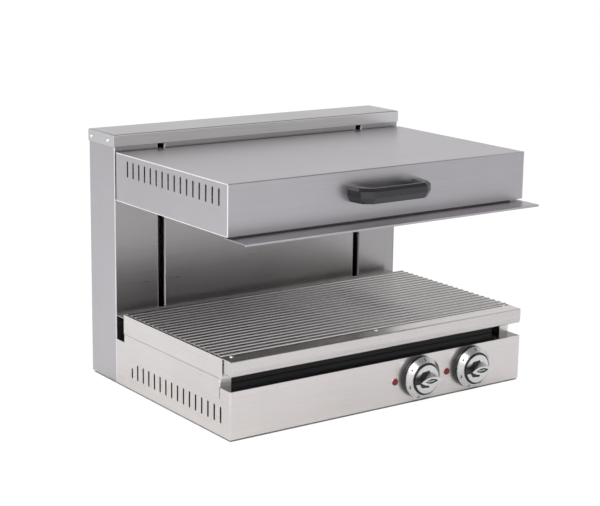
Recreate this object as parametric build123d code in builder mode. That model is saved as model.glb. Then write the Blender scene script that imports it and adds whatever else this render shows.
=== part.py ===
from build123d import *
import os

os.makedirs("parts", exist_ok=True)

# A rise-and-fall cheese melter (salamander grill). A heated hood rides on two guide rods
# in the rear column, balanced by a counterweight, over a rod grate on a control box.
# +X is to the right seen from the front, +Y to the back, +Z up. The origin lies on the
# surface that the feet stand on, under the middle of the whole appliance.

# ---- driving dimensions, in millimetres -----------------------------------------------

# whole appliance
body_width = 600
base_depth = 356  # fascia to the front of the column
column_depth = 86
overall_height = 430
foot_height = 3
base_height = 80  # top of the control box
sheet = 1.2
bend = 2.4  # outer radius of a folded corner

# raised side flanges of the control box, which carry the grate frame
step_height = 14
step_front = 30  # behind the fascia
step_rear_margin = 26  # in front of the column
return_width = 21
seat_width = 14
relief_depth = 18
relief_width = 1.4

# vent slots in the sides of the control box and the hood
vent_count = 16
vent_width = 4.4
vent_height = 27
rear_vent_height = 18
vent_front_margin = 27
vent_rear_margin = 54
vent_bottom = 23.5
hood_vent_top_margin = 9.5
hood_vent_front_margin = 24
hood_vent_rear_margin = 38

# floor pan and feet
pan_flange = 12
foot_radius = 14
foot_inset = 46
foot_chamfer = 1

# grate frame
rim_height = 34
rim_front = 24
lip_height = 25.5
lip_fold = 16  # height of the lip's upright face
lip_tuck = 2  # of its lower edge behind that face
ledge_depth = 31
ledge_turn = 8
rear_ledge_depth = 28
rear_ledge_drop = 6.5  # below the top of the frame
shelf_width = 9
seam = 1.2

# grate
rod_radius = 4
rod_count = 21
rod_end_gap = 1.8
rod_front_gap = 3.5
rod_rear_gap = 2
rod_proud = 2.5
bar_radius = 3
bar_side_gap = 4.5  # from a shelf
bar_bite = 0.5  # depth that the rods and bars are welded into each other
lip_screw_inset = 18
lip_screw_margin = 6
rest_gap = 0.3

# crumb tray
tray_front = 40
tray_rear_gap = 12
tray_height = 12.5
tray_side_gap = 5
tray_sheet = 1
tray_pull = 9

# column
cap_sheet = 1.5
cap_flange = 20.5
side_return = 14
slot_margin = 90  # side of the appliance to the middle of a slot
slot_width = 15
slot_return = 9
slot_bottom_gap = 2
slot_top_cover = 6
rivet_radius = 3
rivet_height = 1.5
rivet_round = 1.2
rivet_front = 20
rivet_rear = 9

# guide rods and their brackets
guide_radius = 8
guide_depth = 46  # column front to the rods' axes
bracket_width = 40
bracket_depth = 48
bracket_height = 18
rod_head_room = 4
stop_radius = 15
stop_height = 12
stop_gap = 0.5
running_gap = 0.05
closed_gap = 33.5  # between the grate and the hood when the hood is right down

# pulleys and cables
beam_thickness = 3
beam_height = 64
pulley_inset = 48  # from the middle of a slot
pulley_radius = 21
pulley_width = 12
pulley_lip = 1.5
groove_radius = 17
axle_radius = 4
axle_collar = 3
axle_collar_radius = 6
axle_end_play = 0.2
cable_radius = 1.5
cable_gap = 0.3
ferrule_radius = 3
ferrule_length = 8

# counterweight
weight_inset = 12  # from a pulley's axle
weight_depth = 40
weight_height = 129
weight_floor_gap = 16
weight_beam_gap = 1
weight_notch_gap = 1
weight_guide_width = 10
weight_guide_depth = 12
weight_guide_bite = 4.5
weight_guide_head = 16  # from the beam's top edge

# hood
hood_set_back = 10  # behind the fascia
hood_column_gap = 6
hood_drop = 28.5  # below the top of the cap
hood_height = 81
hood_flange = 15
hood_side_round = 0.9
deflector_reach = 44  # in front of the hood
deflector_inset = 3
deflector_sheet = 1.5
deflector_gap = 3
deflector_hem = 2
deflector_seat = 14
reflector_inset = 12
reflector_height = 35
reflector_radius = 6
insulation_thickness = 12
insulation_inset = 20

# heating elements
element_radius = 4.25
element_drop = 18
element_passes = 6
element_run_gap = 0.2  # straight left between a row's two turns
element_middle_gap = 44
element_side_gap = 44.8  # between the outer run and the reflector's side
element_front_gap = 36
element_rear_gap = 30
hanger_sheet = 1.5
hanger_drop = 25
hanger_inset = 70
terminal_radius = 7
terminal_length = 9

# carriage
arm_thickness = 8
arm_height = 30
arm_front = 150  # behind the fascia
carriage_beam_gap = 4
carriage_beam_depth = 6
carriage_beam_height = 24
bush_width = 40
bush_depth = 34
bush_height = 60
lug_height = 6
lug_rise = 8

# hood handle
handle_width = 152
handle_front_width = 106
handle_reach = 41
handle_height = 25
handle_slope = 10  # height of the sloping lower face
handle_grip = 15
handle_leg = 24
handle_shoulder = 26
handle_chamfer = 5
handle_middle = 44  # above the hood's bottom edge
screw_radius = 2.5
screw_head_radius = 5
screw_head_height = 3
screw_length = 16

# knobs, dials and lamps on the fascia
dial_right_margin = 115
dial_pitch = 111
dial_height = 43.7
dial_radius = 36
dial_inner_radius = 27.5
dial_wall = 2.5
dial_depth = 16.5
dial_ring = 1.5
dial_slope = 7  # of the ring's outer edge behind its inner edge
dial_bead = 0.8
dial_bead_round = 0.3
knob_radius = 26.5
knob_rise = 4  # of its face in front of the dial's ring
knob_back_gap = 3
face_radius = 24
face_height = 4
face_hollow = 2
grip_length = 45
grip_width = 14
grip_base_length = 30
grip_base_width = 24
grip_base_shift = 7
grip_height = 12
inlay_length = 26
inlay_width = 8
inlay_depth = 3
inlay_recess = 1
fan_tail = 25.5
fan_tail_half = 6.5
fan_step = 16
fan_shoulder = 11
fan_shoulder_half = 13.5
fan_corner = 4
fan_half = 14.8
fan_point = 9
spindle_radius = 3
bush_radius = 5
bush_nut_radius = 9
bush_nut_height = 2.5
regulator_width = 44
regulator_depth = 34
regulator_height = 40
spindle_depth = 16
lamp_offset = 51  # left of its knob
lamp_height = 42
lamp_radius = 5.5
lamp_dome = 3
lamp_round = 2.4
lamp_body_radius = 4.5
lamp_body_length = 22
lamp_nut_radius = 7

# mains inlet, terminal block and wiring
gland_right_margin = 38
gland_height = 52
gland_radius = 12
gland_proud = 16
gland_inside = 10
gland_thread_radius = 8
gland_bore_radius = 5.5
terminal_block_width = 50
terminal_block_depth = 18
terminal_block_height = 20
terminal_pitch = 12.5
loom_radius = 3
loom_run = 42  # straight back from a regulator
loom_bend = 8
loom_hole_radius = 12
loom_lane = 9  # between the two wires' middles
back_screw_radius = 3.5
back_screw_height = 2
back_screw_rows = 4
back_screw_margin = 30
back_vent_offset = 65  # middle of the back to the middle of a row
back_vent_count = 9
back_vent_length = 90
back_vent_width = 5
back_vent_pitch = 14

# ---- places worked out from those dimensions ------------------------------------------

half = body_width / 2
inner = half - sheet
knob_top = dial_depth + dial_ring + knob_rise
grip_front = knob_top + grip_height
rear_reach = base_depth + column_depth + gland_proud
front_y = (grip_front - rear_reach) / 2
column_y = front_y + base_depth
back_y = column_y + column_depth

pan_top = foot_height + sheet
frame_bottom = pan_top + pan_flange
column_top = overall_height - bend
step_top = base_height + step_height
step_front_y = front_y + step_front
step_rear_y = column_y - step_rear_margin

rim_top = step_top + rim_height
rim_front_y = front_y + rim_front
ledge_y = front_y + ledge_depth
rear_ledge_y = column_y - rear_ledge_depth
rear_ledge_top = rim_top - rear_ledge_drop
rod_z = rim_top + rod_proud - rod_radius
rod_front_y = ledge_y + rod_front_gap + rod_radius
rod_rear_y = rear_ledge_y - rod_rear_gap - rod_radius
rod_pitch = (rod_rear_y - rod_front_y) / (rod_count - 1)
bar_z = rod_z - rod_radius - bar_radius + bar_bite
shelf_z = rod_z - rod_radius - rest_gap

hood_front_y = front_y + hood_set_back
hood_rear_y = column_y - hood_column_gap
hood_top = overall_height - hood_drop
hood_bottom = hood_top - hood_height
deflector_z = hood_bottom - deflector_gap
hem_bottom = deflector_z - deflector_sheet - deflector_hem
travel = hem_bottom - rim_top - rod_proud - closed_gap
reflector_bottom = hood_bottom + sheet
reflector_top = reflector_bottom + reflector_height
element_z = reflector_top - element_drop

slot_offset = half - slot_margin
guide_y = column_y + guide_depth
beam_y = guide_y + bracket_depth / 2
arm_top = hood_top - sheet
arm_bottom = arm_top - arm_height
bracket_z = column_top - bracket_height - rod_head_room
bush_top = bracket_z - stop_gap
bush_bottom = bush_top - bush_height
bush_y = guide_y - bush_depth / 2
stop_z = bush_bottom - travel - stop_gap - stop_height

pulley_offset = slot_offset - pulley_inset
pulley_z = column_top - pulley_radius - rod_head_room - bend
cable_pitch_radius = groove_radius + cable_gap + cable_radius
hood_cable_x = pulley_offset + cable_pitch_radius
weight_cable_x = pulley_offset - cable_pitch_radius
lug_top = bush_bottom + lug_rise + lug_height
weight_half_width = pulley_offset - weight_inset
weight_rear_y = beam_y - weight_beam_gap
weight_front_y = weight_rear_y - weight_depth
cable_y = weight_front_y + weight_depth / 2
weight_bottom = pan_top + weight_floor_gap
weight_top = weight_bottom + weight_height

dial_xs = [half - dial_right_margin - dial_pitch, half - dial_right_margin]
sides = {"left": -1, "right": 1}
gland_x = half - gland_right_margin


# ---- shared shapes --------------------------------------------------------------------


def slab(x, y, z, mode=Mode.ADD):
    """A box between two corners, added to the part being built or cut from it."""
    size = (abs(x[1] - x[0]), abs(y[1] - y[0]), abs(z[1] - z[0]))
    with Locations(((x[0] + x[1]) / 2, (y[0] + y[1]) / 2, (z[0] + z[1]) / 2)):
        Box(*size, mode=mode)


def strip(points, side=Side.LEFT, thickness=sheet):
    """A folded sheet's section: its outer line with round corners, thickened inwards."""
    with BuildLine() as outline:
        FilletPolyline(*points, radius=bend)
        offset(amount=thickness, side=side)
    make_face(outline.edges())


def facing_front(x, z, forward=0):
    """A plane on the fascia whose normal points to the front."""
    origin = (x, front_y - forward, z)
    return Plane(origin=origin, x_dir=(1, 0, 0), z_dir=(0, -1, 0))


def facing_back(x, y, z):
    """A plane whose normal points to the back."""
    return Plane(origin=(x, y, z), x_dir=(-1, 0, 0), z_dir=(0, 1, 0))


def disc(plane, radius, start, end, mode=Mode.ADD):
    """A cylinder along a plane's normal, from one distance to another."""
    with BuildSketch(plane.offset(start)) as outline:
        Circle(radius)
    extrude(outline.sketch, amount=end - start, mode=mode)


def ring(plane, radius, bore, start, end):
    """A ring along a plane's normal, from one distance to another."""
    with BuildSketch(plane.offset(start)) as outline:
        Circle(radius)
        Circle(bore, mode=Mode.SUBTRACT)
    extrude(outline.sketch, amount=end - start)


def vent_places(front, rear, z):
    """The middles of a row of upright vents, as places on a plane that faces sideways."""
    pitch = (rear - front) / (vent_count - 1)
    return [(front + index * pitch, z) for index in range(vent_count)]


def save(part, name):
    """Names a finished piece and writes it."""
    part.label = name
    export_step(part, f"parts/{name}.step")


# ---- control box ----------------------------------------------------------------------

dial_planes = [facing_front(x, dial_height) for x in dial_xs]
lamp_planes = [facing_front(x - lamp_offset, lamp_height) for x in dial_xs]
vents_front_y = front_y + vent_front_margin
vents_rear_y = column_y - vent_rear_margin
base_vents = vent_places(vents_front_y, vents_rear_y, vent_bottom + vent_height / 2)
rear_vent = (vents_rear_y, vent_bottom + rear_vent_height / 2)

with BuildPart() as base_wrap:
    with BuildSketch(Plane.XY.offset(foot_height)):
        strip([(-half, column_y), (-half, front_y), (half, front_y), (half, column_y)])
    extrude(amount=base_height - foot_height)
    for side in sides.values():
        with BuildSketch(Plane.XY.offset(base_height)):
            strip(
                [
                    (side * (half - return_width), step_front_y),
                    (side * half, step_front_y),
                    (side * half, step_rear_y),
                    (side * (half - return_width), step_rear_y),
                ],
                side=Side.LEFT if side > 0 else Side.RIGHT,
            )
        extrude(amount=step_height)
        slab(
            (side * (half - seat_width), side * (half - sheet)),
            (step_front_y + bend, step_rear_y - bend),
            (step_top - sheet, step_top),
        )
    # the slit that frees the raised flange when it is folded
    slab(
        (-half, half),
        (step_front_y - relief_width / 2, step_front_y + relief_width / 2),
        (base_height - relief_depth, base_height),
        Mode.SUBTRACT,
    )
    with BuildSketch(Plane.YZ.offset(-half)):
        with Locations(*base_vents[:-1]):
            SlotOverall(vent_height, vent_width, rotation=90)
        with Locations(rear_vent):
            SlotOverall(rear_vent_height, vent_width, rotation=90)
    extrude(amount=body_width, mode=Mode.SUBTRACT)
    for plane in dial_planes:
        disc(plane, bush_radius, -sheet, 0, Mode.SUBTRACT)
    for plane in lamp_planes:
        disc(plane, lamp_body_radius, -sheet, 0, Mode.SUBTRACT)
save(base_wrap.part, "base_wrap")

with BuildPart() as floor_pan:
    slab((-inner, inner), (front_y + sheet, back_y - sheet), (foot_height, pan_top))
    for side in sides.values():
        slab(
            (side * (inner - sheet), side * inner),
            (front_y + bend, back_y - sheet),
            (pan_top, frame_bottom),
        )
    slab((-inner, inner), (back_y - 2 * sheet, back_y - sheet), (pan_top, frame_bottom))
    fillet(floor_pan.edges().filter_by(Axis.Z).group_by(Axis.Y)[0], bend - sheet)
save(floor_pan.part, "floor_pan")

with BuildPart() as rubber_feet:
    foot_x = half - foot_inset
    for foot_y in (front_y + foot_inset, back_y - foot_inset):
        with Locations((-foot_x, foot_y), (foot_x, foot_y)):
            Cylinder(foot_radius, foot_height, align=(Align.CENTER, Align.CENTER, Align.MIN))
    chamfer(rubber_feet.edges().group_by(Axis.Z)[0], foot_chamfer)
save(rubber_feet.part, "rubber_feet")

with BuildPart() as control_deck:
    slab((-inner, inner), (front_y + bend, column_y), (base_height - sheet, base_height))
    for side in sides.values():
        slab(
            (side * (inner - sheet), side * inner),
            (front_y + bend, column_y),
            (base_height - pan_flange, base_height),
        )
    slab(
        (-inner + bend, inner - bend),
        (front_y + sheet, front_y + 2 * sheet),
        (base_height - pan_flange, base_height),
    )
save(control_deck.part, "control_deck")

# ---- grate frame ----------------------------------------------------------------------

for name, side in sides.items():
    with BuildPart() as rim_side:
        slab(
            (side * inner, side * half),
            (rim_front_y, step_rear_y),
            (step_top + seam, rim_top),
        )
        slab(
            (side * (half - seat_width), side * (half - sheet / 2)),
            (rim_front_y + sheet, step_rear_y),
            (step_top, step_top + seam),
        )
        slab(
            (side * (inner - shelf_width), side * inner),
            (ledge_y, rear_ledge_y),
            (shelf_z - sheet, shelf_z),
        )
    save(rim_side.part, f"rim_{name}")

lip_screw_y = ledge_y - lip_screw_margin
lip_screw_places = [(x, lip_screw_y) for x in (lip_screw_inset - half, 0, half - lip_screw_inset)]

# the plates that close the ends of the lip
lip_rear_y = rim_front_y + 2 * sheet
lip_corners = [
    (lip_rear_y, rim_top - lip_height),
    (front_y + lip_tuck, rim_top - lip_height),
    (front_y, rim_top - lip_fold),
    (front_y, rim_top),
    (lip_rear_y, rim_top),
]

with BuildPart() as rim_front_rail:
    with BuildSketch(Plane.YZ.offset(-inner)):
        strip(
            [
                (rim_front_y, step_top + seam),
                (rim_front_y, rim_top - lip_height),
                (front_y + lip_tuck, rim_top - lip_height),
                (front_y, rim_top - lip_fold),
                (front_y, rim_top),
                (ledge_y, rim_top),
                (ledge_y, rim_top - ledge_turn),
            ],
            side=Side.LEFT,
        )
    extrude(amount=2 * inner)
    for end_x in (sheet - inner, inner - 2 * sheet):
        with BuildSketch(Plane.YZ.offset(end_x)):
            with BuildLine():
                Polyline(*lip_corners, close=True)
            make_face()
            offset(amount=-sheet / 2)
        extrude(amount=sheet)
    with Locations(Plane.XY.offset(rim_top)):
        with Locations(*lip_screw_places):
            Hole(screw_radius, depth=2 * sheet)
save(rim_front_rail.part, "rim_front")

with BuildPart() as rim_rear_rail:
    with BuildSketch(Plane.YZ.offset(-inner)):
        strip(
            [
                (rear_ledge_y, rear_ledge_top - ledge_turn),
                (rear_ledge_y, rear_ledge_top),
                (column_y, rear_ledge_top),
            ],
            side=Side.RIGHT,
        )
    extrude(amount=2 * inner)
save(rim_rear_rail.part, "rim_rear")

with BuildPart() as lip_screws:
    with Locations(*[(x, y, rim_top) for x, y in lip_screw_places]):
        Cylinder(rivet_radius, rivet_height, align=(Align.CENTER, Align.CENTER, Align.MIN))
        Cylinder(screw_radius, ledge_turn, align=(Align.CENTER, Align.CENTER, Align.MAX))
    fillet(lip_screws.edges().group_by(Axis.Z)[-1], rivet_round)
save(lip_screws.part, "lip_screws")

# ---- grate and crumb tray -------------------------------------------------------------

rod_length = 2 * (inner - rod_end_gap)
bar_front_y = ledge_y + rod_front_gap
bar_rear_y = rear_ledge_y - rod_rear_gap
bar_x = inner - shelf_width - bar_radius - bar_side_gap

with BuildPart() as grate:
    rod_middle = (rod_front_y + rod_rear_y) / 2
    with Locations((0, rod_middle, rod_z)):
        with GridLocations(1, rod_pitch, 1, rod_count):
            Cylinder(rod_radius, rod_length, rotation=(0, 90, 0))
    with Locations((0, (bar_front_y + bar_rear_y) / 2, bar_z)):
        with GridLocations(bar_x, 1, 3, 1):
            Cylinder(bar_radius, bar_rear_y - bar_front_y, rotation=(90, 0, 0))
save(grate.part, "grate")

tray_half_width = half - return_width - tray_side_gap
tray_bottom = base_height + rest_gap
tray_front_y = front_y + tray_front
tray_rear_y = step_rear_y - tray_rear_gap

with BuildPart() as crumb_tray:
    slab(
        (-tray_half_width, tray_half_width),
        (tray_front_y, tray_rear_y),
        (tray_bottom, tray_bottom + tray_height),
    )
    offset(amount=-tray_sheet, openings=crumb_tray.faces().sort_by(Axis.Z)[-1])
    slab(
        (-tray_half_width, tray_half_width),
        (tray_front_y - tray_pull, tray_front_y),
        (tray_bottom + tray_height - tray_sheet, tray_bottom + tray_height),
    )
save(crumb_tray.part, "crumb_tray")

# ---- column ---------------------------------------------------------------------------

for name, side in sides.items():
    with BuildPart() as column_side:
        slab((side * inner, side * half), (column_y, back_y), (foot_height, column_top))
        for return_y in (column_y + sheet, back_y - 2 * sheet):
            slab(
                (side * (half - side_return), side * inner),
                (return_y, return_y + sheet),
                (frame_bottom, column_top),
            )
    save(column_side.part, f"column_{name}")

slot_bottom = rear_ledge_top + slot_bottom_gap
slot_top = overall_height - cap_flange + slot_top_cover
slot_half = slot_width / 2

with BuildPart() as column_front:
    slab((-inner, inner), (column_y, column_y + sheet), (frame_bottom, column_top))
    for side in sides.values():
        slab(
            (side * slot_offset - slot_half, side * slot_offset + slot_half),
            (column_y, column_y + sheet),
            (slot_bottom, slot_top),
            Mode.SUBTRACT,
        )
        for edge in (-slot_half - sheet, slot_half):
            slab(
                (side * slot_offset + edge, side * slot_offset + edge + sheet),
                (column_y, column_y + sheet + slot_return),
                (slot_bottom, slot_top),
            )
    hole_plane = facing_back(gland_x, column_y, gland_height)
    disc(hole_plane, loom_hole_radius, 0, sheet, Mode.SUBTRACT)
save(column_front.part, "column_front")

back_vent_z = (frame_bottom + column_top) / 2
screw_pitch = (column_top - foot_height - 2 * back_screw_margin) / (back_screw_rows - 1)
screw_x_pitch = body_width - side_return - sheet

with BuildPart() as column_back:
    slab((-inner, inner), (back_y - sheet, back_y), (foot_height, column_top))
    with BuildSketch(facing_back(0, back_y, back_vent_z)):
        with GridLocations(2 * back_vent_offset, back_vent_pitch, 2, back_vent_count):
            SlotOverall(back_vent_length, back_vent_width)
    extrude(amount=-sheet, mode=Mode.SUBTRACT)
    gland_plane = facing_back(gland_x, back_y, gland_height)
    disc(gland_plane, gland_thread_radius, -sheet, 0, Mode.SUBTRACT)
save(column_back.part, "column_back")

with BuildPart() as back_screws:
    with BuildSketch(facing_back(0, back_y, (foot_height + column_top) / 2)):
        with GridLocations(screw_x_pitch, screw_pitch, 2, back_screw_rows):
            Circle(back_screw_radius)
    extrude(amount=back_screw_height)
    chamfer(back_screws.edges().group_by(Axis.Y)[-1], back_screw_height / 2)
save(back_screws.part, "back_screws")

with BuildPart() as top_cap:
    slab(
        (-half - cap_sheet, half + cap_sheet),
        (column_y - cap_sheet, back_y + cap_sheet),
        (overall_height - cap_flange, overall_height),
    )
    fillet(top_cap.edges().group_by(Axis.Z)[-1], bend)
    offset(amount=-cap_sheet, openings=top_cap.faces().sort_by(Axis.Z)[0])
save(top_cap.part, "top_cap")

rivet_z = overall_height - cap_flange / 2 - rivet_height

with BuildPart() as cap_rivets:
    for side in sides.values():
        for rivet_y in (column_y + rivet_front, back_y - rivet_rear):
            plane = Plane(
                origin=(side * (half + cap_sheet), rivet_y, rivet_z),
                x_dir=(0, 1, 0),
                z_dir=(side, 0, 0),
            )
            disc(plane, rivet_radius, 0, rivet_height)
    fillet(cap_rivets.edges().group_by(Axis.X)[-1], rivet_round)
    fillet(cap_rivets.edges().group_by(Axis.X)[0], rivet_round)
save(cap_rivets.part, "cap_rivets")

# ---- guide rods, pulleys and cables in the column -------------------------------------

guide_places = [(side * slot_offset, guide_y) for side in sides.values()]
upward = (Align.CENTER, Align.CENTER, Align.MIN)
guide_top = bracket_z + bracket_height

with BuildPart() as guide_rods:
    with Locations(*[(x, y, pan_top) for x, y in guide_places]):
        Cylinder(guide_radius, guide_top - pan_top, align=upward)
save(guide_rods.part, "guide_rods")

with BuildPart() as guide_brackets:
    for bracket_bottom in (pan_top, bracket_z):
        with Locations(*[(x, y, bracket_bottom) for x, y in guide_places]):
            Box(bracket_width, bracket_depth, bracket_height, align=upward)
            Cylinder(guide_radius, bracket_height, align=upward, mode=Mode.SUBTRACT)
    fillet(guide_brackets.edges().filter_by(Axis.Z).group_by(SortBy.LENGTH)[0], bend)
save(guide_brackets.part, "guide_brackets")

with BuildPart() as down_stops:
    with Locations(*[(x, y, stop_z) for x, y in guide_places]):
        Cylinder(stop_radius, stop_height, align=upward)
        Cylinder(guide_radius, stop_height, align=upward, mode=Mode.SUBTRACT)
save(down_stops.part, "down_stops")

axle_places = [facing_front(side * pulley_offset, pulley_z) for side in sides.values()]
pulley_back = front_y - cable_y - pulley_width / 2
pulley_front = pulley_back + pulley_width
beam_reach = front_y - beam_y

with BuildPart() as pulley_beam:
    slab(
        (-inner, inner),
        (beam_y, beam_y + beam_thickness),
        (guide_top - beam_height, guide_top),
    )
save(pulley_beam.part, "pulley_beam")

with BuildPart() as pulley_axles:
    for plane in axle_places:
        disc(plane, axle_radius, beam_reach, pulley_front + axle_collar)
        collar_start = pulley_front + axle_end_play
        disc(plane, axle_collar_radius, collar_start, pulley_front + axle_collar)
        disc(plane, axle_collar_radius, beam_reach, pulley_back - axle_end_play)
save(pulley_axles.part, "pulley_axles")

for (name, side), plane in zip(sides.items(), axle_places):
    with BuildPart() as pulley:
        disc(plane, pulley_radius, pulley_back, pulley_front)
        disc(plane, axle_radius + running_gap, pulley_back, pulley_front, Mode.SUBTRACT)
        groove_half = pulley_width / 2 - pulley_lip
        middle = (pulley_back + pulley_front) / 2
        with BuildSketch(Plane(origin=plane.origin, x_dir=(1, 0, 0), z_dir=(0, 0, 1))):
            with Locations((groove_radius, -middle)):
                Polygon(
                    (0, -cable_radius - cable_gap),
                    (0, cable_radius + cable_gap),
                    (pulley_radius, groove_half),
                    (pulley_radius, -groove_half),
                    align=None,
                )
        revolve(axis=Axis(plane.origin, (0, 1, 0)), mode=Mode.SUBTRACT)
    save(pulley.part, f"pulley_{name}")

with BuildPart() as cable_wraps:
    for side in sides.values():
        arc_centre = (side * pulley_offset, pulley_z)
        with BuildLine(Plane.XZ.offset(-cable_y)) as wrap:
            CenterArc(arc_centre, cable_pitch_radius, 0, 180)
        with BuildSketch(Plane(origin=wrap.line @ 0, z_dir=wrap.line % 0)):
            Circle(cable_radius)
        sweep(path=wrap.line)
save(cable_wraps.part, "cable_wraps")

guide_bar_x = weight_half_width - weight_guide_bite

with BuildPart() as weight_guides:
    for side in sides.values():
        slab(
            (side * guide_bar_x, side * (guide_bar_x + weight_guide_width)),
            (beam_y - weight_guide_depth, beam_y),
            (pan_top, guide_top - weight_guide_head),
        )
save(weight_guides.part, "weight_guides")

notch_front_y = beam_y - weight_guide_depth - weight_notch_gap

with BuildPart() as counterweight:
    slab(
        (-weight_half_width, weight_half_width),
        (weight_front_y, weight_rear_y),
        (weight_bottom, weight_top),
    )
    for side in sides.values():
        slab(
            (side * (guide_bar_x - weight_notch_gap), side * weight_half_width),
            (notch_front_y, weight_rear_y),
            (weight_bottom, weight_top),
            Mode.SUBTRACT,
        )
    chamfer(counterweight.edges().filter_by(Axis.X), sheet)
save(counterweight.part, "counterweight")

with BuildPart() as weight_cables:
    with Locations(*[(side * weight_cable_x, cable_y, weight_top) for side in sides.values()]):
        Cylinder(cable_radius, pulley_z - weight_top, align=upward)
        Cylinder(ferrule_radius, ferrule_length, align=upward)
save(weight_cables.part, "weight_cables")

with BuildPart() as hood_cables:
    with Locations(*[(side * hood_cable_x, cable_y, lug_top) for side in sides.values()]):
        Cylinder(cable_radius, pulley_z - lug_top, align=upward)
        Cylinder(ferrule_radius, ferrule_length, align=upward)
save(hood_cables.part, "hood_cables")

# ---- carriage -------------------------------------------------------------------------

with BuildPart() as bush_blocks:
    for side in sides.values():
        with Locations((side * slot_offset, guide_y, bush_bottom)):
            Box(bush_width, bush_depth, bush_height, align=upward)
        lug_edge = slot_offset - bush_width / 2
        slab(
            (side * (hood_cable_x - 2 * ferrule_radius), side * lug_edge),
            (cable_y - 2 * ferrule_radius, cable_y + 2 * ferrule_radius),
            (lug_top - lug_height, lug_top),
        )
    with Locations(*[(x, y, bush_bottom) for x, y in guide_places]):
        Cylinder(guide_radius + running_gap, bush_height, align=upward, mode=Mode.SUBTRACT)
save(bush_blocks.part, "bush_blocks")

arm_half = arm_thickness / 2
arm_front_y = front_y + arm_front

with BuildPart() as hood_arms:
    for side in sides.values():
        slab(
            (side * slot_offset - arm_half, side * slot_offset + arm_half),
            (arm_front_y, bush_y),
            (arm_bottom, arm_top),
        )
save(hood_arms.part, "hood_arms")

carriage_beam_y = column_y + sheet + slot_return + carriage_beam_gap
arm_inner_x = slot_offset - arm_half
carriage_beam_z = (arm_bottom + arm_top - carriage_beam_height) / 2

with BuildPart() as carriage_beam:
    slab(
        (-arm_inner_x, arm_inner_x),
        (carriage_beam_y, carriage_beam_y + carriage_beam_depth),
        (carriage_beam_z, carriage_beam_z + carriage_beam_height),
    )
save(carriage_beam.part, "carriage_beam")

# ---- hood -----------------------------------------------------------------------------

handle_z = hood_bottom + handle_middle
handle_screw_x = (handle_width - handle_leg) / 2
handle_screw_planes = [
    facing_front(side * handle_screw_x, handle_z, -hood_set_back - sheet) for side in sides.values()
]

with BuildPart() as hood_wrap:
    slab((-inner, inner), (hood_front_y, hood_rear_y), (hood_bottom, hood_top))
    fillet(hood_wrap.edges().filter_by(Axis.X).group_by(Axis.Z)[-1], bend)
    open_faces = [hood_wrap.faces().sort_by(Axis.X)[end] for end in (0, -1)]
    open_faces.append(hood_wrap.faces().sort_by(Axis.Z)[0])
    offset(amount=-sheet, openings=open_faces)
    for flange_y in (hood_front_y + sheet, hood_rear_y - hood_flange):
        slab(
            (hood_flange - inner, inner - hood_flange),
            (flange_y, flange_y + hood_flange - sheet),
            (hood_bottom, hood_bottom + sheet),
        )
    for side in sides.values():
        slab(
            (side * slot_offset - arm_half, side * slot_offset + arm_half),
            (hood_rear_y - bend, hood_rear_y),
            (arm_bottom, arm_top),
            Mode.SUBTRACT,
        )
    for plane in handle_screw_planes:
        disc(plane, screw_radius, 0, sheet, Mode.SUBTRACT)
save(hood_wrap.part, "hood_wrap")

hood_vents = vent_places(
    hood_front_y + hood_vent_front_margin,
    hood_rear_y - hood_vent_rear_margin,
    hood_top - hood_vent_top_margin - vent_height / 2,
)

for name, side in sides.items():
    with BuildPart() as hood_side:
        slab((side * inner, side * half), (hood_front_y, hood_rear_y), (hood_bottom, hood_top))
        slab(
            (side * (half - hood_flange), side * inner),
            (hood_front_y + sheet, hood_rear_y - sheet),
            (hood_bottom, hood_bottom + sheet),
        )
        outer_edges = hood_side.faces().sort_by(Axis.X)[-1 if side > 0 else 0].edges()
        fillet(outer_edges.filter_by(Axis.Y).sort_by(Axis.Z)[-1], hood_side_round)
        with BuildSketch(Plane.YZ.offset(side * half)):
            with Locations(*hood_vents):
                SlotOverall(vent_height, vent_width, rotation=90)
        extrude(amount=-side * sheet, mode=Mode.SUBTRACT)
    save(hood_side.part, f"hood_{name}")

deflector_x = half - deflector_inset
deflector_y = hood_front_y - deflector_reach
deflector_seat_y = hood_front_y + deflector_seat

with BuildPart() as deflector:
    slab(
        (-deflector_x, deflector_x),
        (deflector_y, deflector_seat_y),
        (deflector_z - deflector_sheet, deflector_z),
    )
    slab(
        (-deflector_x, deflector_x),
        (deflector_y, deflector_y + deflector_sheet),
        (hem_bottom, deflector_z - deflector_sheet),
    )
    slab(
        (hood_flange - inner, inner - hood_flange),
        (deflector_seat_y - deflector_sheet, deflector_seat_y),
        (deflector_z, hood_bottom),
    )
save(deflector.part, "deflector")

reflector_x = inner - reflector_inset
reflector_front_y = hood_front_y + sheet + reflector_inset
reflector_rear_y = hood_rear_y - sheet - reflector_inset
element_reach = reflector_x - element_side_gap - element_middle_gap / 2
element_pitch = element_reach / (element_passes - 1)
element_pass_x = [element_middle_gap / 2 + index * element_pitch for index in range(element_passes)]
all_pass_x = [side * x for side in sides.values() for x in element_pass_x]
element_tail_x = [side * element_pass_x[end] for side in sides.values() for end in (0, -1)]
tail_end_y = reflector_rear_y + terminal_length
tail_planes = [facing_back(x, reflector_rear_y, element_z) for x in element_tail_x]

with BuildPart() as reflector:
    slab(
        (-reflector_x, reflector_x),
        (reflector_front_y, reflector_rear_y),
        (reflector_bottom, reflector_top),
    )
    fillet(reflector.edges().group_by(Axis.Z)[-1], reflector_radius)
    offset(amount=-sheet, openings=reflector.faces().sort_by(Axis.Z)[0])
    for plane in tail_planes:
        disc(plane, element_radius, -sheet, 0, Mode.SUBTRACT)
save(reflector.part, "reflector")

with BuildPart() as insulation:
    slab(
        (insulation_inset - reflector_x, reflector_x - insulation_inset),
        (reflector_front_y + insulation_inset, reflector_rear_y - insulation_inset),
        (reflector_top, reflector_top + insulation_thickness),
    )
save(insulation.part, "insulation")

element_front_y = reflector_front_y + element_front_gap
element_back_y = reflector_rear_y - element_rear_gap

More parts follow.
